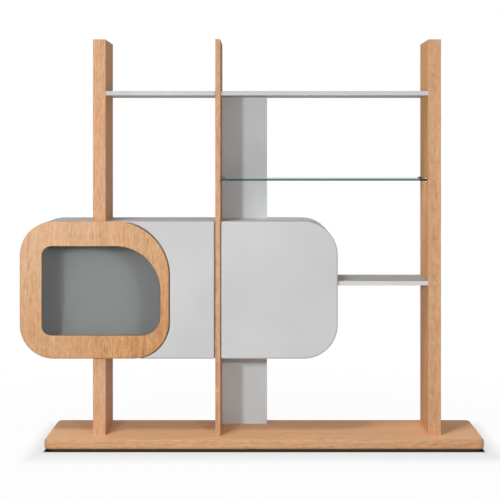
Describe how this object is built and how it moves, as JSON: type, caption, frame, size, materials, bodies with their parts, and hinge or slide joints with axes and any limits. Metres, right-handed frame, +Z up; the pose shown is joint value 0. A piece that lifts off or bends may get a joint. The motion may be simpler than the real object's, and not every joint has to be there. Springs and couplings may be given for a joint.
{
  "type": "display shelving unit",
  "caption": "Free-standing display shelving unit: oak base, posts and panel, lacquered and glass shelves, and hung cabinets with rounded corners and push-to-open doors.",
  "frame": {"origin": "on the floor under the middle of the oak base slab", "axes": "+X to the right as seen from the front, +Y towards the back, +Z up"},
  "size_m": [2.0365, 0.4, 1.803],
  "materials": {
    "oak": "oiled oak, fine grain",
    "gray_lacquer": "satin light gray lacquer on board",
    "dark_board": "matt dark stain",
    "satin_steel": "satin",
    "clear_glass": "polished, green at the edges",
    "black_plastic": "matt",
    "rubber_pads": "matt",
    "beech_dowels": "raw"
  },
  "bodies": {
    "frame": {"plinth_board": "dark_board", "base_slab": "oak", "left_post_lower": "oak", "left_post_upper": "oak", "centre_panel": "oak", "right_post": "oak", "spine_lower": "gray_lacquer", "spine_upper": "gray_lacquer", "top_shelf_left": "gray_lacquer", "top_shelf_right": "gray_lacquer", "side_shelf": "gray_lacquer", "glass_shelf": "clear_glass", "glass_clamps": "satin_steel", "clamp_pads": "rubber_pads", "left_cabinet_shell": "gray_lacquer", "left_cabinet_side": "gray_lacquer", "left_cabinet_divider": "gray_lacquer", "left_cabinet_back": "gray_lacquer", "right_cabinet_shell": "gray_lacquer", "right_cabinet_side": "gray_lacquer", "right_cabinet_back": "gray_lacquer", "right_cabinet_shelf": "gray_lacquer", "shelf_pins": "satin_steel", "base_bolts": "satin_steel", "cabinet_bolts": "satin_steel", "connecting_bolts": "satin_steel", "shelf_dowels": "beech_dowels", "spine_dowels": "beech_dowels", "wall_dowels": "beech_dowels", "hinge_plates": "satin_steel", "hinge_plate_screws": "satin_steel", "latch_housings": "black_plastic"},
    "glazed_door_leaf": {"glazed_door_frame": "oak", "door_glass": "clear_glass", "glass_bead": "black_plastic", "glazed_door_cups": "satin_steel", "glazed_door_screws": "satin_steel", "glazed_door_striker": "satin_steel"},
    "middle_door_leaf": {"middle_door": "gray_lacquer", "middle_door_cups": "satin_steel", "middle_door_screws": "satin_steel", "middle_door_striker": "satin_steel"},
    "right_door_leaf": {"right_door": "gray_lacquer", "right_door_cups": "satin_steel", "right_door_screws": "satin_steel", "right_door_striker": "satin_steel"},
    "glazed_plunger": {"glazed_latch_plunger": "black_plastic"},
    "middle_plunger": {"middle_latch_plunger": "black_plastic"},
    "right_plunger": {"right_latch_plunger": "black_plastic"}
  },
  "joints": [
    {"name": "glazed_door_swing", "type": "hinge", "parent": "frame", "child": "glazed_door_leaf", "pos_m": [-1.075, -0.14, 0.6975], "axis": [0, 0, -1], "range_deg": [0, 105]},
    {"name": "middle_door_swing", "type": "hinge", "parent": "frame", "child": "middle_door_leaf", "pos_m": [-0.219, -0.14, 0.6975], "axis": [0, 0, 1], "range_deg": [0, 95]},
    {"name": "right_door_swing", "type": "hinge", "parent": "frame", "child": "right_door_leaf", "pos_m": [0.324, -0.14, 0.6975], "axis": [0, 0, 1], "range_deg": [0, 105]},
    {"name": "glazed_latch_press", "type": "slide", "parent": "frame", "child": "glazed_plunger", "axis": [0, 1, 0], "range_m": [0, 0.0015], "stiffness_N_per_m": 300},
    {"name": "middle_latch_press", "type": "slide", "parent": "frame", "child": "middle_plunger", "axis": [0, 1, 0], "range_m": [0, 0.0015], "stiffness_N_per_m": 300},
    {"name": "right_latch_press", "type": "slide", "parent": "frame", "child": "right_plunger", "axis": [0, 1, 0], "range_m": [0, 0.0015], "stiffness_N_per_m": 300}
  ]
}
